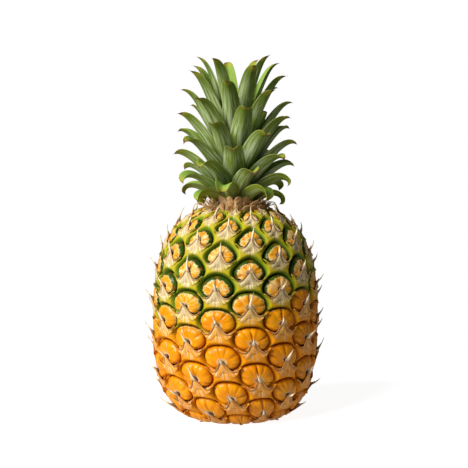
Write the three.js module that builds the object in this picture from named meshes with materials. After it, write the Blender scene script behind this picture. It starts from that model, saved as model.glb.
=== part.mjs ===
// A ripe pineapple that stands on its own flat base: the fruit, the crown's short stem, a collar
// of dry bracts at the neck, and the crown leaves, each leaf its own solid.
// Millimetres, +Z up. The origin is the centre of the flat spot it stands on; its front faces -Y.

import * as THREE from "three";

const RADIANS = Math.PI / 180;

// The fruit's outline: two superellipse quarters that meet at its widest level.
const BODY_RADIUS = 57.5;
const WIDEST_Z = 67.5;
const LOWER_DROP = 72.3; // below the widest level, to where the lower quarter would close
const LOWER_POWER = 2.9;
const UPPER_RISE = 82;
const UPPER_POWER = 2.8;
const NECK_RADIUS = 14;
const FOOT_CLEARANCE = 0.4; // the lowest eyes stay this far above the flat spot

// The eyes: whorls of eight, each whorl turned half a step from the one below.
const EYE_ROWS = 14; // above the one that the flat spot's edge runs through
const EYES_PER_ROW = 8;
const FIRST_ROW = 15; // from the edge of the flat spot, along the outline
const ROW_STEP = 13.8; // to the second row; each row's step is a little less than the last
const ROW_STEP_LOSS = 0.146;
const LOWEST_ROW = -1; // that edge row
const EYE_HEIGHT = 3;
const DOME_POWER = 2.5; // how flat the top of an eye is
const SIDE_REACH = 1.5; // shapes the six-sided eye: it is widest at its own level
const SAMPLES_PER_EYE = 12; // round the fruit; the corners of every eye fall on a sample
const HALF_STEP = Math.PI / EYES_PER_ROW; // half the turn between two eyes of a whorl

// The columns of eyes lean to the right, least round the middle of the fruit.
const MIDDLE_LEAN = 9.2 * RADIANS;
const LEAN_CHANGE = 10.5 * RADIANS; // over LEAN_ROWS rows from the middle row
const MIDDLE_ROW = 6.8;
const LEAN_ROWS = 5.6;

// The crown's stem and the collar of dry bracts round its foot.
const GAP = 0.35; // between neighbouring solids
const STEM_BASE_Z = 149.4;
const STEM_HEIGHT = 57;
const STEM_RADIUS = 13.5;
const STEM_TIP_RADIUS = 4.5;
const STEM_TAPER_POWER = 1.4;
const COLLAR_BRACTS = 16;
const COLLAR_HEIGHT = 5;
const COLLAR_FLARE = 6.5; // from its inner wall out to the bracts' points
const NOTCH_RADIUS = 0.78; // between two bracts, as a share of the radius at their points
const NOTCH_DROP = 0.4; // as a share of the collar's height

// The crown leaves, in one spiral from the lowest and oldest to the innermost.
// Tilts are from upright: at the base, added along the blade, and added at its hooked tip. A
// change power above 1 keeps a size near the lowest leaf's for longer.
const LEAVES = 54;
const LEAF_TURN = -137.508 * RADIANS;
const FIRST_LEAF_AZIMUTH = 228 * RADIANS;
const LOWEST_LEAF_Z = 153.5;
const LEAF_SPREAD_Z = 51;
const LOWEST_LEAF = { length: 23, width: 12.5, tilt: 56, arch: 48, hook: 110 };
const INNER_LEAF = { length: 72, width: 10, tilt: 11, arch: 12, hook: 30 };
const CHANGE_POWER = { height: 1.5, length: 0.85, width: 1, tilt: 0.6, arch: 0.5, hook: 0.6 };
const MIDDLE_LEAF_EXTRA_WIDTH = 3.5;
const HEART_LEAF_LOSS = 13; // the last few leaves in the heart are shorter
const HEART_POWER = 16; // how few those are
const HOOK_POWER = 9; // how near its tip a leaf's hook begins
const LEAF_BASE_WIDTH = 0.65; // as a share of its full width, which it reaches a third of the way up
const LEAF_FULL_WIDTH_AT = 0.3;
const LEAF_END_WIDTH = 0.65; // as a share of its full width, before the tip rounds it off
const LEAF_TIP_WIDTH = 0.08;
const LEAF_TIP_POWER = 6; // how blunt the tip is
const LEAF_BASE_THICKNESS = 1.6;
const LEAF_TIP_THICKNESS = 0.7;
const LEAF_CLASP_RADIUS = 4; // how much wider than its place on the stem a blade curves
const LEAF_KEEL = 0.32; // how steeply each half of a blade folds back from its midrib
const LEAF_SECTIONS = 7;
const LEAF_SIDES = 6;

function mix(low, high, share) {
  return low + (high - low) * share;
}

// A point at azimuth a, measured from the front (-Y) towards +X.
function around(a, radius, z) {
  return new THREE.Vector3(radius * Math.sin(a), -radius * Math.cos(a), z);
}

function material(color, roughness) {
  return new THREE.MeshStandardMaterial({ color, roughness, metalness: 0 });
}

function piece(name, geometry, finish) {
  const mesh = new THREE.Mesh(geometry, finish);
  mesh.name = name;
  return mesh;
}

// ---- Fruit ----

// One quarter of the outline, from its closing point (share 1) to the widest level (share 0).
function quarter(depth, power, share) {
  return new THREE.Vector2(
    BODY_RADIUS * Math.cos((share * Math.PI) / 2) ** (2 / power),
    WIDEST_Z + depth * Math.sin((share * Math.PI) / 2) ** (2 / power),
  );
}

function shareAtHeight(depth, power, height) {
  return (2 / Math.PI) * Math.asin((height / depth) ** (power / 2));
}

function shareAtRadius(power, radius) {
  return (2 / Math.PI) * Math.acos((radius / BODY_RADIUS) ** (power / 2));
}

// The outline from the edge of the flat spot up to the neck.
function fruitOutline() {
  const steps = 40;
  const footShare = shareAtHeight(LOWER_DROP, LOWER_POWER, WIDEST_Z);
  const neckShare = shareAtRadius(UPPER_POWER, NECK_RADIUS);
  const points = [];
  for (let i = 0; i < steps; i++)
    points.push(quarter(-LOWER_DROP, LOWER_POWER, footShare * (1 - i / steps)));
  for (let i = 0; i <= steps; i++)
    points.push(quarter(UPPER_RISE, UPPER_POWER, (neckShare * i) / steps));
  points[0].y = 0;
  return new THREE.SplineCurve(points);
}

function rowDistance(row) {
  return FIRST_ROW + row * (ROW_STEP - ROW_STEP_LOSS * row);
}

function columnLean(row) {
  return MIDDLE_LEAN + LEAN_CHANGE * ((row - MIDDLE_ROW) / LEAN_ROWS) ** 2;
}

// How far the skin stands out at a place counted in half steps and rows: a low dome over each
// six-sided eye, falling to a groove where it meets its neighbours.
function eyeRelief(column, row, radius) {
  let height = 0;
  for (let r = Math.round(row) - 1; r <= Math.round(row) + 1; r++)
    for (let c = Math.round(column) - 1; c <= Math.round(column) + 1; c++) {
      if ((r + c) % 2 !== 0 || r < LOWEST_ROW || r >= EYE_ROWS) continue;
      const across = Math.abs(column - c);
      const up = Math.abs(row - r);
      const reach = Math.max(up, SIDE_REACH * across + (2 - SIDE_REACH) * up);
      height = Math.max(height, 1 - reach ** DOME_POWER);
    }
  const fadeAtNeck = Math.min(1, radius / NECK_RADIUS - 1);
  return EYE_HEIGHT * height * fadeAtNeck;
}

function fruitGeometry() {
  const outline = fruitOutline();
  const length = outline.getLength();
  const rows = [];
  for (let row = LOWEST_ROW; rowDistance(row + 0.5) < length; row += 0.5) rows.push(row);
  const along = [0, ...rows.map(rowDistance), length];
  const profile = along.map((s) => outline.getPointAt(s / length));
  const foot = new THREE.Vector2(0, 0);
  const top = new THREE.Vector2(0, profile.at(-1).y);
  const rings = [foot, ...profile, top];
  const sides = SAMPLES_PER_EYE * EYES_PER_ROW;
  const geometry = new THREE.LatheGeometry(rings, sides);
  const position = geometry.attributes.position;
  for (let side = 0; side <= sides; side++)
    for (let i = 1; i < along.length - 1; i++) {
      const row = rows[i - 1];
      const column = (2 * side) / SAMPLES_PER_EYE;
      const { x: radius, y: height } = profile[i];
      const slope = outline.getTangentAt(along[i] / length);
      const relief = eyeRelief(column, row, radius);
      const a = column * HALF_STEP + columnLean(row);
      const place = radius + relief * slope.y;
      const level = Math.max(height - relief * slope.x, FOOT_CLEARANCE);
      position.setXYZ(side * rings.length + i + 1, place * Math.sin(a), level, place * Math.cos(a));
    }
  return geometry.rotateX(Math.PI / 2);
}

// ---- Crown stem and the collar of dry bracts ----

function stemRadius(z) {
  const share = Math.max(0, (z - STEM_BASE_Z) / STEM_HEIGHT);
  return mix(STEM_RADIUS, STEM_TIP_RADIUS, share ** STEM_TAPER_POWER);
}

function crownStemGeometry() {
  const steps = 6;
  const profile = [new THREE.Vector2(0, STEM_BASE_Z)];
  for (let i = 0; i <= steps; i++) {
    const z = STEM_BASE_Z + (STEM_HEIGHT * i) / steps;
    profile.push(new THREE.Vector2(stemRadius(z), z));
  }
  profile.push(new THREE.Vector2(0, STEM_BASE_Z + STEM_HEIGHT));
  return new THREE.LatheGeometry(profile, 20).rotateX(Math.PI / 2);
}

// A flared ring; every second corner of its rim is drawn in and down, which leaves the points.
function collarGeometry() {
  const inner = STEM_RADIUS + GAP;
  const rim = 3;
  const profile = [
    new THREE.Vector2(inner, STEM_BASE_Z),
    new THREE.Vector2(inner + 0.5 * COLLAR_FLARE, STEM_BASE_Z),
    new THREE.Vector2(inner + 0.9 * COLLAR_FLARE, STEM_BASE_Z + 0.4 * COLLAR_HEIGHT),
    new THREE.Vector2(inner + COLLAR_FLARE, STEM_BASE_Z + COLLAR_HEIGHT),
    new THREE.Vector2(inner, STEM_BASE_Z + 0.5 * COLLAR_HEIGHT),
    new THREE.Vector2(inner, STEM_BASE_Z),
  ];
  const geometry = new THREE.LatheGeometry(profile, 2 * COLLAR_BRACTS);
  const position = geometry.attributes.position;
  for (let side = 1; side < 2 * COLLAR_BRACTS; side += 2) {
    const index = side * profile.length + rim;
    position.setX(index, position.getX(index) * NOTCH_RADIUS);
    position.setY(index, position.getY(index) - NOTCH_DROP * COLLAR_HEIGHT);
    position.setZ(index, position.getZ(index) * NOTCH_RADIUS);
  }
  return geometry.rotateX(Math.PI / 2);
}

// ---- Crown leaves ----

// Sizes of the leaf at a place in the spiral: age 0 is the lowest leaf and 1 the innermost.
function leafForm(index) {
  const age = index / (LEAVES - 1);
  const at = (key) => mix(LOWEST_LEAF[key], INNER_LEAF[key], age ** CHANGE_POWER[key]);
  const attachZ = LOWEST_LEAF_Z + LEAF_SPREAD_Z * age ** CHANGE_POWER.height;
  return {
    azimuth: FIRST_LEAF_AZIMUTH + index * LEAF_TURN,
    attachZ,
    attachRadius: stemRadius(attachZ) + LEAF_BASE_THICKNESS,
    length: at("length") - HEART_LEAF_LOSS * age ** HEART_POWER,
    width: at("width") + 4 * MIDDLE_LEAF_EXTRA_WIDTH * age * (1 - age),
    tilt: at("tilt") * RADIANS,
    arch: at("arch") * RADIANS,
    hook: at("hook") * RADIANS,
  };
}

// The midrib's points from the stem to the tip, in the leaf's own upright plane.
function midrib(form) {
  const steps = 8 * LEAF_SECTIONS;
  const points = [];
  let radius = form.attachRadius;
  let z = form.attachZ;
  for (let i = 0; i <= steps; i++) {
    const x = i / steps;
    const tilt = form.tilt + form.arch * x + form.hook * x ** HOOK_POWER;
    points.push({ radius, z, tilt });
    radius += (Math.sin(tilt) * form.length) / steps;
    z += (Math.cos(tilt) * form.length) / steps;
  }
  return points;
}

// Half the blade's width at a share x of its length.
function halfWidth(form, x) {
  const grow = mix(LEAF_BASE_WIDTH, 1, Math.min(1, x / LEAF_FULL_WIDTH_AT));
  const narrowed = mix(1, LEAF_END_WIDTH, x * x);
  const taper = Math.max(LEAF_TIP_WIDTH, (1 - x ** LEAF_TIP_POWER) * narrowed);
  return (form.width * grow * taper) / 2;
}

// A blade folded along its midrib, its back outwards, bent out and down along the midrib's curve.
function leafGeometry(form) {
  const geometry = new THREE.CylinderGeometry(1, 1, 1, LEAF_SIDES, LEAF_SECTIONS);
  const rib = midrib(form);
  const edge = Math.sin((2 * Math.PI) / LEAF_SIDES); // the section's outermost vertices
  const position = geometry.attributes.position;
  const sideways = new THREE.Vector3(Math.cos(form.azimuth), Math.sin(form.azimuth), 0);
  for (let i = 0; i < position.count; i++) {
    const x = position.getY(i) + 0.5;
    const at = rib[Math.round(x * (rib.length - 1))];
    const thick = mix(LEAF_BASE_THICKNESS, LEAF_TIP_THICKNESS, x);
    const across = (position.getX(i) / edge) * halfWidth(form, x);
    const clasp = across ** 2 / (2 * (at.radius + LEAF_CLASP_RADIUS));
    const out = (position.getZ(i) * thick) / 2 - clasp - LEAF_KEEL * Math.abs(across);
    const place = around(
      form.azimuth,
      at.radius + out * Math.cos(at.tilt),
      at.z - out * Math.sin(at.tilt),
    ).addScaledVector(sideways, across);
    position.setXYZ(i, place.x, place.y, place.z);
  }
  return geometry;
}

// ---- Assembly ----

const skin = material(0xd8941c, 0.55);
const dryBract = material(0x9c7552, 0.9);
const pith = material(0xb9b673, 0.8);
const leafGreen = material(0x5d7a2f, 0.6);

const pineapple = new THREE.Group();
pineapple.add(piece("fruit", fruitGeometry(), skin));
pineapple.add(piece("crown_stem", crownStemGeometry(), pith));
pineapple.add(piece("neck_bract_collar", collarGeometry(), dryBract));

for (let i = 0; i < LEAVES; i++) {
  const name = "crown_leaf_" + String(i + 1).padStart(2, "0");
  pineapple.add(piece(name, leafGeometry(leafForm(i)), leafGreen));
}

export default pineapple;
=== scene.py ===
import random
from math import acos, asin, cos, pi, radians, sin, tau

import bmesh
import bpy
import numpy as np
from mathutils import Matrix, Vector


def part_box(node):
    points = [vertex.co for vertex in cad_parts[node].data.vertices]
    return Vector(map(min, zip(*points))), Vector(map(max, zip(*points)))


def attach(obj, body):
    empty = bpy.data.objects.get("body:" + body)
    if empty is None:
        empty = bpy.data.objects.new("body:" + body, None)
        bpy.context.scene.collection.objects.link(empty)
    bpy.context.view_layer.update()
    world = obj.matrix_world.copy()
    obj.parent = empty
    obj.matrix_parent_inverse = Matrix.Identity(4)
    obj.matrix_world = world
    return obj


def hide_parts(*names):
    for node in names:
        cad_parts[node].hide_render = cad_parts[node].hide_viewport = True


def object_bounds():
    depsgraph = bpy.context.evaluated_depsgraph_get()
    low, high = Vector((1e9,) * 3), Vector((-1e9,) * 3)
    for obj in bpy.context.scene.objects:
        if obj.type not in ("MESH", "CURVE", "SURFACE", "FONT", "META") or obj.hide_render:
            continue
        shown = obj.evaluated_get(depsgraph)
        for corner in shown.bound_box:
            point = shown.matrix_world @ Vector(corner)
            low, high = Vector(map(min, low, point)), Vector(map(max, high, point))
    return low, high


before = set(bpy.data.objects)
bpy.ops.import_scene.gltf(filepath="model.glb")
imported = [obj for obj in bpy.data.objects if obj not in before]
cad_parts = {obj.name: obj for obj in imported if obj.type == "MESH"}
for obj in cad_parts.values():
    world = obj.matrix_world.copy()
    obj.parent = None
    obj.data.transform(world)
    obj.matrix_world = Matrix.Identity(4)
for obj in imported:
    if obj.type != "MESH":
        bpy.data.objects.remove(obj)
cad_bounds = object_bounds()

# ---- Camera ----
# A long lens 0.8 m off, a little higher than the middle of the object and tilted down to it,
# level enough to show every row of eyes and the crown's full height.
CAD_TOP = cad_bounds[1][2]
VIEW_HEIGHT = 0.504 * CAD_TOP
VIEW_DISTANCE = 0.803
VIEW_TILT = radians(5)
camera = bpy.data.objects.new("camera", bpy.data.cameras.new("camera"))
camera.data.lens = 85
camera.data.sensor_width = 36
camera.location = (
    -0.0011,
    -VIEW_DISTANCE * cos(VIEW_TILT),
    VIEW_HEIGHT + VIEW_DISTANCE * sin(VIEW_TILT),
)
camera.rotation_euler = (pi / 2 - VIEW_TILT, 0, 0)
bpy.context.scene.collection.objects.link(camera)
bpy.context.scene.camera = camera

# ---- Floor and light ----
# A round white light table, one soft lamp high on the left in front, and an even white room all
# round. Table and room are seen white, but light the fruit only faintly.
FLOOR_RADIUS = 0.3
FLOOR_DROP = 0.0002  # below the flat spot, so that the two faces don't coincide
FLOOR_GLOW = 0.28
FLOOR_EXTRA_GLOW_SEEN = 0.62
bpy.context.scene.view_settings.view_transform = "Standard"

room = bpy.data.worlds.new("room")
bpy.context.scene.world = room
room.use_nodes = True
room.node_tree.nodes.clear()
room_out = room.node_tree.nodes.new("ShaderNodeOutputWorld")
room_mix = room.node_tree.nodes.new("ShaderNodeMixShader")
room_path = room.node_tree.nodes.new("ShaderNodeLightPath")
room_light = room.node_tree.nodes.new("ShaderNodeBackground")
room_light.inputs["Strength"].default_value = 0.15
room_seen = room.node_tree.nodes.new("ShaderNodeBackground")
for wall in (room_light, room_seen):
    wall.inputs["Color"].default_value = (1, 1, 1, 1)
room.node_tree.links.new(room_path.outputs["Is Camera Ray"], room_mix.inputs[0])
room.node_tree.links.new(room_light.outputs[0], room_mix.inputs[1])
room.node_tree.links.new(room_seen.outputs[0], room_mix.inputs[2])
room.node_tree.links.new(room_mix.outputs[0], room_out.inputs["Surface"])

lamp = bpy.data.objects.new("lamp", bpy.data.lights.new("lamp", "SUN"))
lamp.data.energy = 5.2
lamp.data.angle = radians(38)
lamp.rotation_euler = Vector((0.70, 0.54, -0.58)).to_track_quat("-Z", "Y").to_euler()
bpy.context.scene.collection.objects.link(lamp)

floor_mesh = bpy.data.meshes.new("floor")
bm = bmesh.new()
bmesh.ops.create_circle(bm, cap_ends=True, segments=96, radius=FLOOR_RADIUS)
bmesh.ops.translate(bm, verts=bm.verts, vec=(0, 0, -FLOOR_DROP))
bm.to_mesh(floor_mesh)
bm.free()
floor = bpy.data.objects.new("floor", floor_mesh)
bpy.context.scene.collection.objects.link(floor)
floor_paint = bpy.data.materials.new("floor_paint")
floor_paint.use_nodes = True
floor_shader = floor_paint.node_tree.nodes["Principled BSDF"]
floor_shader.inputs["Base Color"].default_value = (0.35, 0.35, 0.35, 1)
floor_shader.inputs["Roughness"].default_value = 0.9
floor_shader.inputs["Emission Color"].default_value = (1, 1, 1, 1)
floor_path = floor_paint.node_tree.nodes.new("ShaderNodeLightPath")
floor_glow = floor_paint.node_tree.nodes.new("ShaderNodeMath")
floor_glow.operation = "MULTIPLY_ADD"
floor_glow.inputs[1].default_value = FLOOR_EXTRA_GLOW_SEEN
floor_glow.inputs[2].default_value = FLOOR_GLOW
floor_paint.node_tree.links.new(floor_path.outputs["Is Camera Ray"], floor_glow.inputs[0])
floor_paint.node_tree.links.new(floor_glow.outputs[0], floor_shader.inputs["Emission Strength"])
floor_mesh.materials.append(floor_paint)

# ---- Rind ----
# The fruit's skin between the eyes: fused flower bases, tough and waxy, set here in staggered
# rows of eight. It is green at the shoulder and gold below, with a sunken seat under every eye.
MM = 0.001
WELD = 1e-6
LOCAL_MAP = "local"  # the UV map that holds a place in a piece's own mm
_, fruit_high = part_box("fruit")
EYES_STAND_OUT = 2.5 * MM
WAIST_RADIUS = fruit_high.x - EYES_STAND_OUT
WAIST_Z = 67.5 * MM
FOOT_DEPTH = 72.3 * MM
FOOT_POWER = 2.9
SHOULDER_RISE = 82 * MM
SHOULDER_POWER = 2.8
NECK_RADIUS = 14 * MM
EYE_ROWS = 14
FAR_AWAY = 99  # keeps a place clear of an eye that isn't there
LOWEST_ROW = -1  # the edge of the flat spot runs through this one
EYES_PER_ROW = 8
COLUMNS = 2 * EYES_PER_ROW
FIRST_ROW = 15 * MM
NEXT_ROW = 13.8 * MM
ROW_LOSS = 0.146 * MM
ROW_STEP = 12.8  # the steps in an eye's own x and y, which are millimetres at the waist
COLUMN_STEP = 22.6
DOME_DROP = 8.0
# The columns of eyes lean to the right, least round the middle of the fruit.
MIDDLE_LEAN = radians(9.2)
LEAN_CHANGE = radians(10.5)
MIDDLE_ROW = 6.8
LEAN_ROWS = 5.6
rng = random.Random(7)
eye_chance = np.array([[rng.random() for _ in range(COLUMNS)] for _ in range(EYE_ROWS)])


def mix(a, b, share):
    return a + (b - a) * share


def smooth(low_end, high_end, value):
    share = np.clip((value - low_end) / (high_end - low_end), 0, 1)
    return share * share * (3 - 2 * share)


def fruit_outline():
    """Distance along the outline from the foot's edge to the neck, radius and height."""
    foot = asin((WAIST_Z / FOOT_DEPTH) ** (FOOT_POWER / 2))
    neck = acos((NECK_RADIUS / WAIST_RADIUS) ** (SHOULDER_POWER / 2))
    lower = np.linspace(foot, 0, 900)
    upper = np.linspace(0, neck, 900)[1:]
    radius = np.concatenate([np.cos(lower) ** (2 / FOOT_POWER), np.cos(upper) ** (2 / SHOULDER_POWER)])
    height = np.concatenate([
        WAIST_Z - FOOT_DEPTH * np.sin(lower) ** (2 / FOOT_POWER),
        WAIST_Z + SHOULDER_RISE * np.sin(upper) ** (2 / SHOULDER_POWER),
    ])
    radius *= WAIST_RADIUS
    along = np.concatenate([[0], np.cumsum(np.hypot(np.diff(radius), np.diff(height)))])
    return along, radius, height


OUTLINE_ALONG, OUTLINE_RADIUS, OUTLINE_HEIGHT = fruit_outline()
OUTLINE_LENGTH = OUTLINE_ALONG[-1]


def profile(along):
    """Radius and height of the smooth fruit; past both ends it closes as a flat disc."""
    radius = np.interp(along, OUTLINE_ALONG, OUTLINE_RADIUS)
    radius = radius + np.minimum(along, 0) - np.maximum(along - OUTLINE_LENGTH, 0)
    return np.maximum(radius, 0), np.interp(along, OUTLINE_ALONG, OUTLINE_HEIGHT)


def row_at(along):
    return (NEXT_ROW - np.sqrt(NEXT_ROW ** 2 - 4 * ROW_LOSS * (along - FIRST_ROW))) / (2 * ROW_LOSS)


def skin(column, row, lift, lowest=0.4 * MM):
    """Places on the fruit at a column and row of eyes, lifted (mm) off the smooth outline."""
    along = FIRST_ROW + row * (NEXT_ROW - ROW_LOSS * row)
    radius, height = profile(along)
    ahead_radius, ahead_height = profile(along + 1.5 * MM)
    behind_radius, behind_height = profile(along - 1.5 * MM)
    slope = np.stack([ahead_radius - behind_radius, ahead_height - behind_height])
    slope = slope / np.maximum(np.linalg.norm(slope, axis=0), 1e-9)
    place = np.maximum(radius + lift * MM * slope[1], 0) * np.minimum(1, radius / (0.2 * MM))
    lean = MIDDLE_LEAN + LEAN_CHANGE * ((row - MIDDLE_ROW) / LEAN_ROWS) ** 2
    azimuth = column * pi / EYES_PER_ROW + lean
    level = np.maximum(height - lift * MM * slope[0], lowest)
    return np.stack([place * np.sin(azimuth), -place * np.cos(azimuth), level], axis=-1)


def nearby_eyes(column, row):
    """Each of the nine eyes round a place, as its column, its row, and the place in its own mm."""
    home_row = np.round(row)
    home = 2 * np.round((column - home_row) / 2) + home_row
    for across, up in ((0, 0), (1, 1), (-1, 1), (1, -1), (-1, -1), (0, 2), (0, -2), (2, 0), (-2, 0)):
        c, r = home + across, home_row + up
        real = (r >= LOWEST_ROW) & (r < EYE_ROWS)
        yield c, r, np.where(real, (column - c) * COLUMN_STEP, FAR_AWAY), (row - r) * ROW_STEP


def ripeness(column, row):
    """0 where the skin is still green, 1 where it is ripe gold; it creeps up the right side."""
    side = np.sin(column * pi / EYES_PER_ROW)
    return smooth(7.9, 3.6, row - 0.9 * side)


def dome_shape(row):
    """A dome's half width, its middle, its rise above that, and how blunt its upper half is:
    green eyes are narrow and pointed at the top, ripe ones round."""
    ripe = smooth(9, 4.5, row)
    return mix(11.6, 12.6, ripe), mix(3.0, 4.6, ripe), mix(11.2, 9.3, ripe), mix(1.5, 2.3, ripe)


def dome_reach(x, y, row):
    """How far out a place is in an eye's dome: 0 at its middle, 1 at its edge."""
    half, middle, rise, blunt = dome_shape(row)
    power = np.where(y > middle, blunt, 2.2)
    tall = np.where(y > middle, rise, DOME_DROP)
    return (np.abs(x / half) ** power + np.abs((y - middle) / tall) ** power) ** (1 / power)


def rind_form(column, row):
    """Lift (mm), how far it is from the nearest dome, and the eye whose bract is nearest."""
    seat = np.full(column.shape, 2.0)
    fan = np.full(column.shape, -9.0)
    owner = np.zeros((2,) + column.shape)
    for c, r, x, y in nearby_eyes(column, row):
        seat = np.minimum(seat, dome_reach(x, y, r))
        here = 1 - (x / 10) ** 2 - ((y + 4.5) / 8) ** 2
        closer = here > fan
        fan = np.where(closer, here, fan)
        owner = np.where(closer, np.stack([c, r]), owner)
    ridge = 2.0 + 0.5 * smooth(-0.3, 1, fan)
    wall = mix(1.24, 1.2, smooth(9, 4.5, row))
    return mix(-1.5, ridge, smooth(0, 1, (seat - 1) / (wall - 1))), seat, owner


def object_from(name, bm, material):
    """Ends a piece's mesh and puts it in the scene on the one body, with its finish."""
    mesh = bpy.data.meshes.new(name)
    bm.to_mesh(mesh)
    bm.free()
    mesh.materials.append(material)
    mesh.shade_smooth()
    piece = bpy.data.objects.new(name, mesh)
    bpy.context.scene.collection.objects.link(piece)
    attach(piece, "root")
    return piece


def grid_sheet(bm, across, along):
    """A flat grid in bm; returns its new vertices and their shares across and along."""
    verts = bmesh.ops.create_grid(bm, x_segments=across, y_segments=along, size=0.5)["verts"]
    shares = np.array([v.co for v in verts])[:, :2] + 0.5
    return verts, shares[:, 0], shares[:, 1]


def place_all(verts, places):
    for v, place in zip(verts, places):
        v.co = place


def start_piece(*attributes):
    """An empty bmesh that will hold these numbers at each vertex."""
    bm = bmesh.new()
    for name in attributes:
        bm.verts.layers.float.new(name)
    return bm


def write_attributes(bm, verts, **values):
    for name, numbers in values.items():
        layer = bm.verts.layers.float[name]
        for v, number in zip(verts, np.broadcast_to(numbers, len(verts))):
            v[layer] = float(number)


class Finish:
    """A node material under construction: its shader and short ways to add to it."""

    def __init__(self, name):
        self.material = bpy.data.materials.new(name)
        self.material.use_nodes = True
        self.tree = self.material.node_tree
        self.shader = self.tree.nodes["Principled BSDF"]

    def node(self, kind, inputs, **settings):
        node = self.tree.nodes.new(kind)
        for key, value in settings.items():
            setattr(node, key, value)
        for key, value in inputs.items():
            if isinstance(value, bpy.types.NodeSocket):
                self.tree.links.new(value, node.inputs[key])
            else:
                node.inputs[key].default_value = value
        return node

    def attribute(self, name):
        return self.node("ShaderNodeAttribute", {}, attribute_name=name).outputs["Fac"]

    def uv(self):
        return self.node("ShaderNodeUVMap", {}, uv_map=LOCAL_MAP).outputs[0]

    def place(self):
        return self.node("ShaderNodeTexCoord", {}).outputs["Object"]

    def parts(self, vector):
        return self.node("ShaderNodeSeparateXYZ", {0: vector}).outputs

    def vector(self, x=0.0, y=0.0, z=0.0):
        return self.node("ShaderNodeCombineXYZ", {0: x, 1: y, 2: z}).outputs[0]

    def times(self, a, b):
        return self.math("MULTIPLY", a, b)

    def math(self, operation, a, b=0.0):
        return self.node("ShaderNodeMath", {0: a, 1: b}, operation=operation).outputs[0]

    def noise(self, vector, scale, detail=2.0, rough=0.5):
        sockets = {"Vector": vector, "Scale": scale, "Detail": detail, "Roughness": rough}
        return self.node("ShaderNodeTexNoise", sockets).outputs["Fac"]

    def range(self, value, low_end, high_end, to_low=0.0, to_high=1.0):
        sockets = {"Value": value, "From Min": low_end, "From Max": high_end}
        sockets.update({"To Min": to_low, "To Max": to_high})
        return self.node("ShaderNodeMapRange", sockets, interpolation_type="SMOOTHSTEP").outputs[0]

    def ramp(self, value, *stops):
        node = self.node("ShaderNodeValToRGB", {0: value})
        while len(node.color_ramp.elements) < len(stops):
            node.color_ramp.elements.new(1)
        for element, (place, colour) in zip(node.color_ramp.elements, stops):
            element.position = place
            element.color = (*colour, 1)
        return node.outputs[0]

    def blend(self, share, a, b, mode="MIX"):
        a = a if isinstance(a, bpy.types.NodeSocket) else (*a, 1)
        b = b if isinstance(b, bpy.types.NodeSocket) else (*b, 1)
        node = self.node("ShaderNodeMix", {0: share, 6: a, 7: b}, data_type="RGBA", blend_type=mode)
        return node.outputs[2]

    def bump(self, height, distance, strength=1.0, under=None):
        sockets = {"Height": height, "Distance": distance, "Strength": strength}
        if under:
            sockets["Normal"] = under
        return self.node("ShaderNodeBump", sockets).outputs[0]

    def set(self, **sockets):
        for key, value in sockets.items():
            socket = self.shader.inputs[key.replace("_", " ")]
            if isinstance(value, bpy.types.NodeSocket):
                self.tree.links.new(value, socket)
            else:
                socket.default_value = value
        return self.material


def map_corners(bm, layer, places):
    """Writes each vertex's own place, in mm, as its UV."""
    bm.verts.index_update()
    for face in bm.faces:
        for loop in face.loops:
            loop[layer].uv = places[loop.vert.index]


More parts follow.
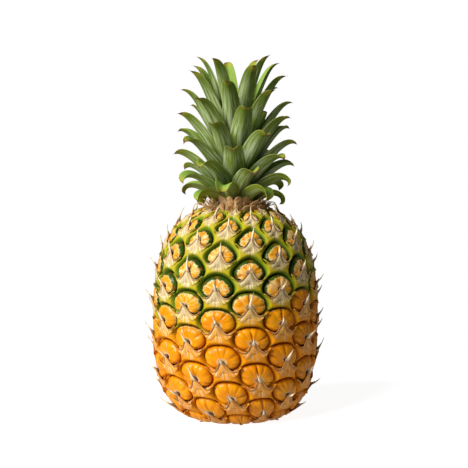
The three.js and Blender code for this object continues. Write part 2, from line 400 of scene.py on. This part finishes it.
def rind_finish():
    f = Finish("rind_skin")
    x, y, _ = f.parts(f.uv())
    ripe = f.attribute("ripe")
    seat = f.attribute("seat")
    margin = f.attribute("margin")
    blotch = f.noise(f.place(), 60, 3, 0.6)
    fine = f.noise(f.place(), 420, 3, 0.6)
    ripe = f.math("ADD", ripe, f.times(f.math("SUBTRACT", blotch, 0.5), 0.5))
    ground = f.ramp(
        ripe,
        (0.0, (0.44, 0.38, 0.012)),
        (0.35, (0.58, 0.36, 0.004)),
        (0.7, (0.70, 0.28, 0.001)),
        (1.0, (0.74, 0.255, 0.001)),
    )
    ground = f.blend(f.range(fine, 0.4, 0.75, 0.0, 0.25), ground, (0.50, 0.16, 0.002))
    green = f.times(f.range(seat, 1.26, 1.1), f.range(ripe, 0.85, 0.25))
    ground = f.blend(f.times(green, 0.9), ground, (0.13, 0.24, 0.005))
    # Fibres radiate down from the foot of the bract and end in a ragged fringe.
    spread = f.math("ARCTAN2", x, f.math("SUBTRACT", 2.5, y))
    fibre_place = f.vector(f.times(spread, 15), f.times(y, 0.05), blotch)
    fibres = f.noise(fibre_place, 1, 4, 0.75)
    away = f.math("POWER", f.math("ABSOLUTE", f.math("DIVIDE", x, 9.8)), 2.0)
    away = f.math("ADD", away, f.math("POWER", f.math("ABSOLUTE", f.math("DIVIDE", y, 9.8)), 2.0))
    away = f.math("ADD", away, f.times(f.math("SUBTRACT", 0.5, fibres), 1.9))
    fan = f.times(f.range(away, 1.05, 0.4), f.range(ripe, 0.2, 0.9, 0.94, 0.82))
    fan = f.times(fan, f.range(fibres, 0.44, 0.64, f.range(ripe, 0.0, 0.8, 0.75, 0.0), 1))
    hair = f.ramp(
        fibres,
        (0.34, (0.36, 0.19, 0.09)),
        (0.47, (0.64, 0.46, 0.27)),
        (0.62, (0.88, 0.79, 0.58)),
    )
    hair = f.blend(f.range(ripe, 0.3, 1.0, 0, 0.35), hair, (0.84, 0.54, 0.16))
    colour = f.blend(fan, ground, hair)
    # Painted shade: the fold just below each bract's papery margin is darkened to brown.
    fold = f.times(f.range(margin, 0.72, 0.84), f.range(margin, 0.95, 0.9))
    colour = f.blend(f.times(fold, 0.6), colour, (0.30, 0.12, 0.03))
    colour = f.blend(f.range(margin, 0.95, 0.98, 0, 0.9), colour, (0.46, 0.25, 0.09))
    # Painted shade: the groove round each dome is darkened, near black-green on green skin, dark orange
    # on ripe.
    painted_groove_shade = f.blend(f.range(ripe, 0.3, 0.8), (0.025, 0.035, 0.003), (0.40, 0.10, 0.001))
    colour = f.blend(f.range(seat, 1.12, 1.01, 0, 0.92), colour, painted_groove_shade)
    # The cut stalk's scar in the middle of the flat spot, pale fibre in a dry brown ring.
    place_x, place_y, place_z = f.parts(f.place())
    reach = f.math("SQRT", f.math("ADD", f.math("POWER", place_x, 2.0), f.math("POWER", place_y, 2.0)))
    reach = f.math("ADD", reach, f.times(f.math("SUBTRACT", fine, 0.5), 0.002))
    under = f.range(place_z, 0.0012, 0.0004)
    cut = f.blend(fine, (0.30, 0.20, 0.09), (0.62, 0.50, 0.28))
    scar = f.blend(f.range(reach, 0.0095, 0.011), cut, (0.16, 0.07, 0.02))
    colour = f.blend(f.times(under, f.range(reach, 0.016, 0.013)), colour, scar)
    normal = f.bump(fibres, 0.0006, f.range(fan, 0, 1, 0.15, 0.6))
    normal = f.bump(fine, 0.0002, 0.4, normal)
    return f.set(
        Base_Color=colour,
        Roughness=f.range(fan, 0, 1, 0.5, 0.75),
        Normal=normal,
        Specular_IOR_Level=0.14,
    )


rind_skin = rind_finish()

RIND_AROUND = 400
RIND_ROWS = 222
bm = start_piece("column", "row", "ripe", "seat")
verts, across, up = grid_sheet(bm, RIND_AROUND, RIND_ROWS)
FOOT_RADIUS = OUTLINE_RADIUS[0]
UNDER_REACH = 9 * MM  # the even grid runs on this far under the fruit, then to the middle in a step
NECK_MARGIN = 4 * MM
reach = np.interp(
    up,
    [0, 0.02, 0.98, 1],
    [-FOOT_RADIUS, -UNDER_REACH, OUTLINE_LENGTH - NECK_MARGIN, OUTLINE_LENGTH + NECK_RADIUS],
)
column = across * COLUMNS
row = row_at(reach)
lift, seat, _ = rind_form(column, row)
place_all(verts, skin(column, row, lift, lowest=0))
write_attributes(bm, verts, column=column, row=row, ripe=ripeness(column, row), seat=seat)
bmesh.ops.remove_doubles(bm, verts=bm.verts, dist=WELD)
bmesh.ops.recalc_face_normals(bm, faces=bm.faces)
rind = object_from("rind", bm, rind_skin)


def map_to_eyes(mesh):
    """UVs in the mm of the eye whose fan each face belongs to."""
    loops = len(mesh.loops)
    corner = np.zeros(loops, int)
    mesh.loops.foreach_get("vertex_index", corner)
    counts = np.zeros(len(mesh.polygons), int)
    mesh.polygons.foreach_get("loop_total", counts)
    starts = np.zeros(len(mesh.polygons), int)
    mesh.polygons.foreach_get("loop_start", starts)
    values = {}
    for name in ("column", "row"):
        values[name] = np.zeros(len(mesh.vertices))
        mesh.attributes[name].data.foreach_get("value", values[name])
        values[name] = values[name][corner]
    first = np.repeat(values["column"][starts], counts)
    column = first + (values["column"] - first + COLUMNS / 2) % COLUMNS - COLUMNS / 2
    middle_column = np.repeat(np.add.reduceat(column, starts) / counts, counts)
    middle_row = np.repeat(np.add.reduceat(values["row"], starts) / counts, counts)
    _, _, owner = rind_form(middle_column, middle_row)
    uv = np.stack([(column - owner[0]) * COLUMN_STEP, (values["row"] - owner[1]) * ROW_STEP], axis=-1)
    mesh.uv_layers.new(name=LOCAL_MAP).data.foreach_set("uv", uv.ravel())


map_to_eyes(rind.data)


# ---- Eyes ----
# The swollen top of each flower, grown in one with the rind: a glossy fleshy cushion pleated
# round a small dark pit. The ripe ones are gold all over; the green ones keep a dark waxy rim
# round a cream and orange star.
DOME_SPOKES = 60
DOME_RINGS = 12
DOME_LIFT = 3.0
PIT_Y = 1.9
eye_places = [(c, r) for r in range(LOWEST_ROW, EYE_ROWS) for c in range(r % 2, COLUMNS, 2)]


def dome_form(turn, out, chance, row):
    """One dome's vertices in its own mm: turn 0 to 1 round it from the bottom, out 0 to 1."""
    angle = turn * tau
    side, rise = -np.sin(angle), -np.cos(angle)
    half, middle, tall, blunt = dome_shape(row)
    power = np.where(rise > 0, blunt, 2.2)
    tall = np.where(rise > 0, tall, DOME_DROP)
    edge = (np.abs(side / half) ** power + np.abs(rise / tall) ** power) ** (-1 / power)
    folds = (5 if row > 6 else 7) + int(chance * 4)
    phase = chance * 9
    wander = 0.8 * np.sin(2 * angle + phase) + 0.5 * np.sin(3 * angle + 2 * phase)
    swing = (folds * angle + wander) / 2 + phase
    crease = np.exp(-((np.abs(np.sin(swing)) / 0.3) ** 2))
    fork = 0.5 + 0.5 * np.sin(5 * phase + 2.4 * np.floor(swing / pi + 0.5))
    depth = crease * (0.35 + 0.65 * fork)
    edge = edge * (1 - 0.03 * depth * smooth(0.6, 1, out))
    x = side * edge * out
    y = middle + rise * edge * out - (1 - out) * (middle - PIT_Y)
    pillow = np.maximum(1 - out ** 4.5, 0) ** 0.55
    lift = mix(-1.6, DOME_LIFT, pillow)
    crease = depth * smooth(0.3, 0.75, out) * smooth(1.02, 0.88, out)
    split = np.exp(-((angle - pi) / 0.1) ** 2) * smooth(0.1, 0.3, out) * smooth(0.95, 0.6, out)
    split = split * smooth(0.3, 0.5, fork)
    lift = lift - 1.3 * crease - 0.9 * split
    lift = lift - 1.9 * np.exp(-((out / 0.17) ** 2)) - 0.3 * np.exp(-(((out - 0.42) / 0.14) ** 2))
    return x, y, lift, np.maximum(crease, split)


def eye_finish():
    f = Finish("eye_skin")
    x, y, _ = f.parts(f.uv())
    out = f.attribute("out")
    ripe = f.attribute("ripe")
    crease = f.attribute("crease")
    chance = f.attribute("chance")
    blotch = f.noise(f.place(), 95, 3, 0.6)
    fine = f.noise(f.place(), 520, 2, 0.6)
    turn = f.math("ARCTAN2", x, f.math("SUBTRACT", y, PIT_Y))
    ray_place = f.vector(f.times(turn, 3.4), f.times(out, 0.8), f.times(chance, 40))
    rays = f.noise(ray_place, 1.6, 4, 0.7)
    gold = f.ramp(
        blotch,
        (0.3, (0.66, 0.20, 0.001)),
        (0.5, (0.76, 0.265, 0.001)),
        (0.72, (0.86, 0.36, 0.002)),
    )
    gold = f.blend(f.range(out, 0.8, 1.0, 0, 0.6), gold, (0.46, 0.14, 0.003))
    heart = f.ramp(
        rays,
        (0.34, (0.60, 0.17, 0.001)),
        (0.5, (0.80, 0.34, 0.004)),
        (0.68, (0.88, 0.62, 0.20)),
    )
    patch = f.noise(f.place(), 160, 2, 0.5)
    heart = f.blend(f.range(patch, 0.52, 0.68, 0, 0.65), heart, (0.88, 0.70, 0.34))
    rim = f.ramp(blotch, (0.3, (0.008, 0.030, 0.002)), (0.65, (0.035, 0.080, 0.004)))
    rim = f.blend(f.range(ripe, 0.1, 0.6, 0, 0.75), rim, (0.24, 0.25, 0.015))
    star = f.math("ADD", out, f.times(f.math("SUBTRACT", rays, 0.5), 0.4))
    star = f.math("ADD", star, f.times(f.math("SUBTRACT", y, 4.0), 0.009))
    star = f.math("SUBTRACT", star, f.times(ripe, 0.42))
    colour = f.blend(f.range(ripe, 0.15, 0.6), heart, gold)
    # A painted highlight: a pale cream line along the inner edge of the green rim.
    colour = f.blend(f.range(star, 0.66, 0.70, 0, 0.7), colour, (0.62, 0.60, 0.26))
    colour = f.blend(f.range(star, 0.70, 0.78), colour, rim)
    # Painted shade in the creases of the pleats.
    colour = f.blend(f.times(crease, 0.6), colour, (0.42, 0.10, 0.001))
    pale_ring = f.times(f.range(out, 0.11, 0.17), f.range(out, 0.34, 0.22))
    colour = f.blend(f.times(pale_ring, 0.75), colour, (0.74, 0.56, 0.28))
    colour = f.blend(f.range(out, 0.14, 0.09), colour, (0.05, 0.018, 0.006))
    # Painted shade: the dome's outer edge, where it drops into the groove, is darkened like the rind's
    # groove.
    painted_groove_shade = f.blend(f.range(ripe, 0.3, 0.8), (0.02, 0.035, 0.003), (0.40, 0.10, 0.001))
    colour = f.blend(f.range(out, 0.91, 0.98, 0, 0.85), colour, painted_groove_shade)
    normal = f.bump(rays, 0.0006, 0.4)
    normal = f.bump(fine, 0.0001, 0.4, normal)
    return f.set(
        Base_Color=colour,
        Roughness=f.range(fine, 0.3, 0.8, 0.22, 0.36),
        Normal=normal,
        Specular_IOR_Level=0.14,
        Coat_Weight=0.15,
        Coat_Roughness=0.12,
    )


eye_skin = eye_finish()
bm = start_piece("out", "ripe", "crease", "chance")
eye_map = bm.loops.layers.uv.new(LOCAL_MAP)
local_places = []
for c, r in eye_places:
    verts, turn, out = grid_sheet(bm, DOME_SPOKES, DOME_RINGS)
    chance = eye_chance[r][c]
    ripe = float(np.clip(ripeness(c, r) + 0.25 * (chance - 0.5), 0, 1))
    x, y, lift, crease = dome_form(turn, out, chance, r)
    place_all(verts, skin(c + x / COLUMN_STEP, r + y / ROW_STEP, lift))
    write_attributes(bm, verts, out=out, ripe=ripe, crease=crease, chance=chance)
    local_places.append(np.stack([x, y], axis=-1))
map_corners(bm, eye_map, np.concatenate(local_places))
bmesh.ops.remove_doubles(bm, verts=bm.verts, dist=WELD)
bmesh.ops.holes_fill(bm, edges=[edge for edge in bm.edges if edge.is_boundary])
bmesh.ops.recalc_face_normals(bm, faces=bm.faces)
eyes = object_from("eyes", bm, eye_skin)

# ---- Bracts ----
# A dry leaf under every eye, grown into the rind: its fibrous foot fans out below, its papery
# edge lies over the bottom of the dome, and its point stands up as a thin curved spine. The
# lowest row, on the edge of the flat spot, has no spines.
BRACT_HALF_WIDTH = 13.2
BRACT_ACROSS = 24
BRACT_UP = 10
PAPER_THICKNESS = 0.3 * MM
SPINE_SIDES = 6
SPINE_STEPS = 9
SPINE_CURVE_STEPS = 60
SPINE_REACH = 6.3  # mm that a point may stand out beyond its foot


def bract_form(across, up, chance):
    """One bract's vertices in its eye's mm: across 0 to 1 left to right, up 0 at its foot."""
    up = 1 - (1 - up) ** 1.6
    t = 2 * across - 1
    x = BRACT_HALF_WIDTH * np.sign(t) * np.abs(t) ** 1.4
    share = np.abs(x) / BRACT_HALF_WIDTH
    edge = 3.0 * smooth(0.62, 1, share) - 3.3 * smooth(0.08, 0.5, share)
    edge = edge + 5.0 * np.exp(-((np.abs(x) / 2.5) ** 1.5))
    foot = edge - (10.5 + 2 * np.exp(-np.abs(x) / 1.3)) * (1 - share ** 1.2) - 0.6
    y = mix(foot, edge, up)
    x = x * mix(0.86, 1, up)
    tent = np.exp(-((x / 2.7) ** 2)) * smooth(-7, 3.5, y)
    wave = 0.3 * np.sin(9 * share + 20 * chance) * smooth(0.6, 1, up)
    fold = 0.5 * np.exp(-(((up - 0.84) / 0.09) ** 2))
    lift = 1.1 + 1.9 * smooth(0, 0.45, up) - fold + 1.5 * tent + wave
    lift = lift + 0.6 * smooth(0.85, 1, up) * smooth(1.0, 0.8, share)
    return x, y, lift, up


def spine_form(around, along, chance, lean, side):
    """One spine's vertices in its eye's mm; lean is its angle from the skin at its foot."""
    steps = np.linspace(0, 1, SPINE_CURVE_STEPS)
    angle = lean * (1 - 0.6 * steps)
    length = min(mix(7.5, 15, chance), SPINE_REACH / np.mean(np.sin(angle)))
    rise = 2.2 + length * np.interp(along, steps, np.cumsum(np.cos(angle)) / SPINE_CURVE_STEPS)
    out = 2.6 + length * np.interp(along, steps, np.cumsum(np.sin(angle)) / SPINE_CURVE_STEPS)
    bend = (chance - 0.5) * 4 * along ** 2 + 1.2 * side * along ** 2
    thick = mix(1.9, 0.13, along ** 0.6)
    x = bend + thick * np.cos(tau * around)
    lift = out + 0.7 * thick * np.sin(tau * around)
    y = rise - 0.5 * thick * np.sin(tau * around)
    return x, y, lift


def spine_finish():
    f = Finish("spine_skin")
    up = f.attribute("up")
    flank = f.attribute("flank")
    blotch = f.noise(f.place(), 300, 3, 0.6)
    shade = f.math("ADD", up, f.times(f.math("SUBTRACT", blotch, 0.5), 0.3))
    colour = f.ramp(
        shade,
        (0.0, (0.64, 0.42, 0.22)),
        (0.25, (0.86, 0.70, 0.46)),
        (0.6, (0.92, 0.80, 0.58)),
        (1.0, (0.42, 0.27, 0.14)),
    )
    dark = f.times(flank, f.range(up, 0.65, 0.15, 0, 0.92))
    colour = f.blend(dark, colour, (0.085, 0.03, 0.012))
    return f.set(
        Base_Color=colour,
        Roughness=0.65,
        Normal=f.bump(blotch, 0.0002, 0.5),
        Specular_IOR_Level=0.15,
    )


bm = start_piece("ripe", "seat", "margin")
eye_map = bm.loops.layers.uv.new(LOCAL_MAP)
local_places = []
for c, r in eye_places:
    verts, across, up = grid_sheet(bm, BRACT_ACROSS, BRACT_UP)
    x, y, lift, up = bract_form(across, up, eye_chance[r][c])
    place_all(verts, skin(c + x / COLUMN_STEP, r + y / ROW_STEP, lift))
    write_attributes(bm, verts, ripe=ripeness(c, r + y / ROW_STEP), seat=2, margin=up)
    local_places.append(np.stack([x, y], axis=-1))
map_corners(bm, eye_map, np.concatenate(local_places))
bmesh.ops.recalc_face_normals(bm, faces=bm.faces)
bracts = object_from("bracts", bm, rind_skin)
paper = bracts.modifiers.new("paper", "SOLIDIFY")
paper.thickness = PAPER_THICKNESS
paper.offset = -1

bm = start_piece("up", "flank")
for c, r in eye_places:
    if r == LOWEST_ROW:
        continue
    verts, around, along = grid_sheet(bm, SPINE_SIDES, SPINE_STEPS)
    chance = eye_chance[r][(c + 1) % COLUMNS]
    lean = radians(mix(34, 74, eye_chance[r][(c + 3) % COLUMNS]))
    side = np.sin(c * pi / EYES_PER_ROW)
    x, y, lift = spine_form(around, along, chance, lean, side)
    place_all(verts, skin(c + x / COLUMN_STEP, r + y / ROW_STEP, lift))
    write_attributes(bm, verts, up=along, flank=smooth(0.55, -0.1, np.sin(tau * around)))
bmesh.ops.remove_doubles(bm, verts=bm.verts, dist=WELD)
bmesh.ops.holes_fill(bm, edges=[edge for edge in bm.edges if edge.is_boundary])
bmesh.ops.recalc_face_normals(bm, faces=bm.faces)
spines = object_from("bract_spines", bm, spine_finish())

for piece in (rind, eyes, bracts, spines):
    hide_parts("fruit")

# ---- Crown stem ----
# The short stem that the crown grew on, running on from the fruit's core: tough pale fibre,
# ringed with the scars of the leaves that clasp it.
stem_low, stem_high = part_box("crown_stem")
STEM_BASE_Z = stem_low.z / MM
STEM_HEIGHT = (stem_high.z - stem_low.z) / MM
STEM_RADIUS = stem_high.x / MM
STEM_TIP_RADIUS = 4.5
STEM_TAPER = 1.4
STEM_RING = 4
STEM_AROUND = 40
STEM_UP = 56


def stem_radius(z):
    up = np.maximum(0, (z - STEM_BASE_Z) / STEM_HEIGHT)
    return mix(STEM_RADIUS, STEM_TIP_RADIUS, up ** STEM_TAPER)


def stem_finish():
    f = Finish("stem_skin")
    x, y, z = f.parts(f.place())
    fibre = f.noise(f.vector(f.times(x, 900), f.times(y, 900), f.times(z, 60)), 1, 3, 0.6)
    colour = f.ramp(
        fibre,
        (0.3, (0.20, 0.22, 0.06)),
        (0.6, (0.45, 0.46, 0.20)),
        (0.8, (0.56, 0.50, 0.28)),
    )
    return f.set(Base_Color=colour, Roughness=0.75, Normal=f.bump(fibre, 0.0004, 0.7))


bm = start_piece()
verts, around, up = grid_sheet(bm, STEM_AROUND, STEM_UP)
z = STEM_BASE_Z + STEM_HEIGHT * smooth(0.03, 0.97, up)
radius = stem_radius(z) + 0.25 * np.sin(tau * z / STEM_RING)
radius = radius * np.minimum(1, np.minimum(up, 1 - up) / 0.03)
azimuth = tau * around
place_all(verts, np.stack([radius * np.sin(azimuth), -radius * np.cos(azimuth), z], axis=-1) * MM)
bmesh.ops.remove_doubles(bm, verts=bm.verts, dist=WELD)
bmesh.ops.recalc_face_normals(bm, faces=bm.faces)
crown_core = object_from("crown_core", bm, stem_finish())
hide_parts("crown_stem")

# ---- Crown leaves ----
# One spiral of tough, fibrous leaves grown on the stem, each clasping it by a wide base. A leaf
# is keeled along its midrib, arches outwards, and ends in a blunt point with a dry brown spike.
LEAVES = 54
LEAF_TURN = radians(-137.508)
FIRST_LEAF_AZIMUTH = radians(228)
LOWEST_LEAF_Z = 153.5
LEAF_SPREAD_Z = 51
LOWEST_LEAF = {"length": 23, "width": 12.5, "tilt": 56, "arch": 48, "hook": 170}
INNER_LEAF = {"length": 72, "width": 10, "tilt": 11, "arch": 12, "hook": 55}
MIDDLE_LEAF_EXTRA_WIDTH = 3.5
HEART_LEAF_LOSS = 13  # the last few leaves in the heart are shorter
MIDRIB_STEPS = 400
LEAF_BASE_THICKNESS = 1.6
LEAF_WIDENING = 1.12
LEAF_AROUND = 22
LEAF_ALONG = 34
TIP_SPIKE = 0.955  # where the blade ends and its dry spike begins


def leaf_sizes(index, chance):
    """The leaf's place and shape in mm and radians; age 0 is the lowest leaf, 1 the heart."""
    age = index / (LEAVES - 1)

    def at(key, power):
        return mix(LOWEST_LEAF[key], INNER_LEAF[key], age ** power)

    attach_z = LOWEST_LEAF_Z + LEAF_SPREAD_Z * age ** 1.5
    return {
        "age": age,
        "azimuth": FIRST_LEAF_AZIMUTH + index * LEAF_TURN,
        "attach_z": attach_z,
        "attach_radius": stem_radius(attach_z) + LEAF_BASE_THICKNESS,
        "length": at("length", 0.85) - HEART_LEAF_LOSS * age ** 16,
        "width": LEAF_WIDENING * (at("width", 1) + 4 * MIDDLE_LEAF_EXTRA_WIDTH * age * (1 - age)),
        "tilt": radians(at("tilt", 0.6)),
        "arch": radians(at("arch", 0.5)),
        "hook": radians(at("hook", 0.5)) * mix(0.5, 1.5, chance),
        "hook_power": mix(4, 13, min(1, 2 * age)),
        "twist": mix(-0.45, 0.45, chance) * mix(1, 0.5, age),
    }


def leaf_midrib(leaf, along):
    """Radius, height and tilt of the midrib at each share of its length."""
    steps = np.linspace(0, 1, MIDRIB_STEPS)
    tilt = leaf["tilt"] + leaf["arch"] * steps + leaf["hook"] * steps ** leaf["hook_power"]
    radius = leaf["attach_radius"] + np.cumsum(np.sin(tilt)) * leaf["length"] / MIDRIB_STEPS
    z = leaf["attach_z"] + np.cumsum(np.cos(tilt)) * leaf["length"] / MIDRIB_STEPS
    return np.interp(along, steps, radius), np.interp(along, steps, z), np.interp(along, steps, tilt)


def leaf_places(leaf, around, along):
    """The closed blade: around runs over its back from margin to margin and home inside."""
    radius, z, tilt = leaf_midrib(leaf, along)
    blade = np.clip(along / TIP_SPIKE, 0, 1)
    half = leaf["width"] / 2 * np.minimum(1, 0.78 + 0.7 * along) * mix(1, 0.6, blade ** 2.4)
    half = half * (1 - blade ** 14) ** 0.5
    half = np.maximum(half, 1.1 * (1 - smooth(TIP_SPIKE - 0.02, 1, along)))
    across = -half * np.cos(tau * around)
    back = np.sin(tau * around)
    thick = mix(1.5, 0.5, along ** 0.7) * np.sign(back) * np.abs(back) ** 0.7 / 2
    thick = thick * np.minimum(1, half / 1.2)
    share = np.abs(np.cos(tau * around))
    keel = 0.72 * (np.sqrt(across ** 2 + 0.35) - 0.59) - 0.05 * half * share ** 4
    out = thick - across ** 2 / (2 * (radius + 4)) - keel
    turn = leaf["twist"] * along ** 1.5
    across, out = across * np.cos(turn) - out * np.sin(turn), across * np.sin(turn) + out * np.cos(turn)
    place = radius + out * np.cos(tilt)
    level = z - out * np.sin(tilt)
    a = leaf["azimuth"]
    x = place * sin(a) + across * cos(a)
    y = -place * cos(a) + across * sin(a)
    return np.stack([x, y, level], axis=-1) * MM, share, back


def leaf_finish():
    f = Finish("leaf_skin")
    age = f.attribute("age")
    along = f.attribute("along")
    share = f.attribute("share")
    back = f.attribute("back")
    chance = f.attribute("chance")
    x, y, _ = f.parts(f.uv())
    ribs = f.noise(f.vector(f.times(x, 7), f.times(y, 0.05), f.times(chance, 50)), 1, 3, 0.65)
    blotch = f.noise(f.place(), 90, 3, 0.6)
    fine = f.noise(f.vector(f.times(x, 1.1), f.times(y, 0.06), f.times(chance, 20)), 1, 3)
    old = f.math("ADD", age, f.times(f.math("SUBTRACT", chance, 0.5), 0.15))
    green = f.ramp(
        old,
        (0.0, (0.30, 0.38, 0.010)),
        (0.25, (0.20, 0.27, 0.004)),
        (1.0, (0.10, 0.17, 0.002)),
    )
    green = f.blend(f.range(ribs, 0.35, 0.7, 0, 0.5), green, (0.05, 0.09, 0.002))
    bloom_share = f.times(f.range(fine, 0.34, 0.58, 0.25, 0.97), f.range(along, 0.92, 0.5, 0.05, 1))
    bloom_share = f.times(bloom_share, f.range(age, 0.0, 0.25, 0.25, 0.9))
    bloom = f.blend(f.range(fine, 0.42, 0.64), (0.36, 0.47, 0.13), (0.60, 0.68, 0.42))
    outside = f.blend(bloom_share, green, bloom)
    inside = f.blend(f.range(ribs, 0.3, 0.7, 0, 0.4), (0.25, 0.38, 0.06), (0.15, 0.26, 0.02))
    colour = f.blend(f.range(back, -0.15, 0.15), inside, outside)
    base = f.times(f.range(along, 0.26, 0.02), f.range(age, 0.4, 0.0, 0, 0.7))
    colour = f.blend(base, colour, (0.42, 0.46, 0.10))
    # Painted shade: all but the lowest leaves darken to near black-green low down, where other leaves
    # overlap them.
    painted_base_shade = f.times(f.range(along, 0.6, 0.1), f.range(age, 0.06, 0.35, 0, 0.92))
    colour = f.blend(painted_base_shade, colour, (0.035, 0.06, 0.002))
    colour = f.blend(f.range(share, 0.93, 0.98, 0, 0.6), colour, (0.44, 0.46, 0.14))
    dry = f.math("ADD", along, f.times(f.math("SUBTRACT", blotch, 0.5), 0.12))
    colour = f.blend(f.range(dry, 0.84, 0.92, 0, 0.8), colour, (0.36, 0.33, 0.03))
    colour = f.blend(f.range(dry, 0.92, 0.955), colour, (0.15, 0.07, 0.03))
    normal = f.bump(ribs, 0.0005, 0.55)
    return f.set(
        Base_Color=colour,
        Roughness=f.range(blotch, 0.3, 0.7, 0.4, 0.55),
        Normal=normal,
        Specular_IOR_Level=0.12,
    )


leaf_skin = leaf_finish()
leaf_chance = [rng.random() for _ in range(LEAVES)]
for index in range(LEAVES):
    leaf = leaf_sizes(index, leaf_chance[index])
    bm = start_piece("age", "along", "share", "back", "chance")
    leaf_map = bm.loops.layers.uv.new(LOCAL_MAP)
    verts, around, along = grid_sheet(bm, LEAF_AROUND, LEAF_ALONG)
    places, share, back = leaf_places(leaf, around, along)
    place_all(verts, places)
    write_attributes(
        bm, verts, age=leaf["age"], along=along, share=share, back=back, chance=leaf_chance[index]
    )
    side = -np.cos(tau * around) * leaf["width"] / 2
    map_corners(bm, leaf_map, np.stack([side, along * leaf["length"]], axis=-1))
    bmesh.ops.remove_doubles(bm, verts=bm.verts, dist=WELD)
    bmesh.ops.holes_fill(bm, edges=[edge for edge in bm.edges if edge.is_boundary])
    bmesh.ops.recalc_face_normals(bm, faces=bm.faces)
    number = f"{index + 1:02d}"
    blade = object_from("leaf_" + number, bm, leaf_skin)
    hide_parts("crown_leaf_" + number)

# ---- Neck ----
# Where fruit and crown meet: rings of small dry bracts grown round the stem's foot, papery and
# tan, with painted shade darkening their feet in the gaps, and thin curled dry threads among them.
# How many scales stand in each ring, its radius and height, and how far they tilt out.
NECK_RINGS = ((24, 20.5, 146.5, 24), (22, 19, 149, 14), (19, 17.8, 151.5, 6))
SCALE_WIDTH = 7
SCALE_LENGTH = 8
SCALE_ACROSS = 6
SCALE_ALONG = 8


def scale_places(azimuth, foot_radius, foot_z, tilt, chance, across, along):
    """A curled triangular scale, in metres, from its foot outwards and up."""
    bend = tilt + radians(mix(-20, 30, chance)) * along ** 1.6
    half = SCALE_WIDTH / 2 * mix(0.8, 1.15, chance) * (1 - along ** 2.6) ** 0.7 + 0.12
    side = half * (2 * across - 1)
    length = SCALE_LENGTH * mix(0.75, 1.3, chance)
    radius = foot_radius + length * along * np.sin(bend) - 0.06 * side ** 2
    z = foot_z + length * along * np.cos(bend) + 0.25 * np.sin(side * 1.7 + 9 * chance)
    x = radius * sin(azimuth) + side * cos(azimuth)
    y = -radius * cos(azimuth) + side * sin(azimuth)
    return np.stack([x, y, z], axis=-1) * MM


def scale_finish():
    f = Finish("dry_scale")
    x, y, _ = f.parts(f.uv())
    chance = f.attribute("chance")
    lines = f.noise(f.vector(f.times(x, 2.5), f.times(y, 0.15), f.times(chance, 30)), 1, 3, 0.7)
    colour = f.ramp(
        lines,
        (0.3, (0.22, 0.08, 0.02)),
        (0.48, (0.60, 0.32, 0.11)),
        (0.66, (0.84, 0.62, 0.32)),
    )
    colour = f.blend(f.range(chance, 0.4, 1.0, 0, 0.5), colour, (0.88, 0.66, 0.36))
    # Painted shade: each scale darkens to near black towards its foot, for the shade in the gaps
    # between scales.
    colour = f.blend(f.range(f.attribute("up"), 0.55, 0.0, 0, 0.92), colour, (0.05, 0.02, 0.008))
    return f.set(
        Base_Color=colour,
        Roughness=0.75,
        Normal=f.bump(lines, 0.0004, 0.8),
        Specular_IOR_Level=0.15,
    )


bm = start_piece("up", "chance")
scale_map = bm.loops.layers.uv.new(LOCAL_MAP)
local_places = []
for count, foot_radius, foot_z, tilt in NECK_RINGS:
    for k in range(count):
        chance = rng.random()
        verts, across, along = grid_sheet(bm, SCALE_ACROSS, SCALE_ALONG)
        azimuth = tau * (k + 0.5 * chance) / count
        places = scale_places(azimuth, foot_radius, foot_z, radians(tilt), chance, across, along)
        place_all(verts, places)
        write_attributes(bm, verts, up=along, chance=chance)
        local_places.append(np.stack([across * SCALE_WIDTH, along * SCALE_LENGTH], axis=-1))
map_corners(bm, scale_map, np.concatenate(local_places))
scale_skin = scale_finish()
scales = object_from("neck_scales", bm, scale_skin)
paper = scales.modifiers.new("paper", "SOLIDIFY")
paper.thickness = PAPER_THICKNESS
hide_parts("neck_bract_collar")

THREADS = 9
THREAD_SIDES = 5
THREAD_STEPS = 16
THREAD_FOOT_Z = 149
bm = start_piece("up", "chance")
scale_map = bm.loops.layers.uv.new(LOCAL_MAP)
for k in range(THREADS):
    azimuth = tau * (k + 0.6 * rng.random()) / THREADS
    curl = mix(3.5, 8, rng.random())
    sweep = mix(1.6, 3.4, rng.random())
    foot = 20 + 3 * rng.random()
    verts, around, along = grid_sheet(bm, THREAD_SIDES, THREAD_STEPS)
    thick = mix(0.45, 0.12, along)
    arc = sweep * along
    radius = foot + curl * (1 - np.cos(arc)) + thick * np.cos(tau * around)
    z = THREAD_FOOT_Z + curl * np.sin(arc) + thick * np.sin(tau * around)
    side = mix(-3, 3, rng.random()) * along ** 2
    x = radius * sin(azimuth) + side * cos(azimuth)
    y = -radius * cos(azimuth) + side * sin(azimuth)
    place_all(verts, np.stack([x, y, z], axis=-1) * MM)
    write_attributes(bm, verts, up=0.5 + along / 2, chance=rng.random())
bmesh.ops.remove_doubles(bm, verts=bm.verts, dist=WELD)
bmesh.ops.holes_fill(bm, edges=[edge for edge in bm.edges if edge.is_boundary])
bmesh.ops.recalc_face_normals(bm, faces=bm.faces)
threads = object_from("neck_threads", bm, scale_skin)
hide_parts("neck_bract_collar")

bpy.context.view_layer.update()
